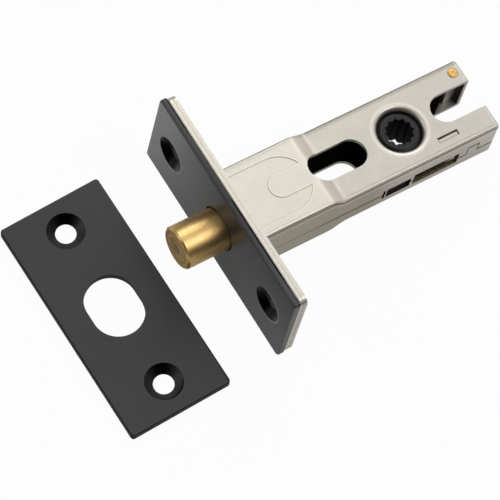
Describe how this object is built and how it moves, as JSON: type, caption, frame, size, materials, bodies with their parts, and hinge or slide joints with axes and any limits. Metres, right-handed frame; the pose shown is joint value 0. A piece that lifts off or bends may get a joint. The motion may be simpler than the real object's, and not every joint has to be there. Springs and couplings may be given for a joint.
{
  "type": "privacy bolt",
  "caption": "Privacy bolt for a flush door: black forend, pressed case with a splined hub that throws a round brass bolt, and the matching flat keep lying in front of it",
  "frame": {"origin": "centre of the forend's seat: the back face of the inner plate, on the bolt's axis and midway between the forend screws", "axes": "+X is the way the bolt is thrown, +Y runs along the forend, +Z is square to the wide faces of the case"},
  "size_m": [0.1064, 0.0578, 0.0299],
  "materials": {
    "black_plate": "satin black coated steel",
    "nickel_plate": "nickel plated steel with blanked edges",
    "nickel_case": "nickel plated pressed steel",
    "black_nylon": "black nylon",
    "brass": "turned brass",
    "steel_pin": "drawn steel",
    "black_zinc": "black coated zinc casting",
    "bronze_strip": "phosphor bronze strip",
    "black_hub": "satin black coated zinc casting",
    "brass_rivet": "riveted brass"
  },
  "bodies": {
    "case": {"faceplate": "black_plate", "forend_plate": "nickel_plate", "case_upper": "nickel_case", "case_lower": "nickel_case", "nose_guide": "black_nylon", "prong_block": "black_nylon", "prong_rivet": "brass_rivet", "strike_plate": "black_plate", "slot_lining": "black_nylon", "notch_lining": "black_nylon"},
    "bolt": {"bolt_nose": "brass", "nose_pin": "steel_pin", "bolt_slide": "black_zinc", "friction_spring": "bronze_strip"},
    "hub": {"hub": "black_hub"}
  },
  "joints": [
    {"name": "hub_turn", "type": "hinge", "parent": "case", "child": "hub", "pos_m": [-0.04345, 0, 0], "axis": [0, 0, 1], "range_deg": [-3, 97]},
    {"name": "bolt_throw", "type": "slide", "parent": "case", "child": "bolt", "axis": [1, 0, 0], "range_m": [-0.01082, 0]}
  ],
  "couplings": [
    {"joint": "hub_turn", "follows": "bolt_throw", "rad_per_m": -151.57}
  ]
}
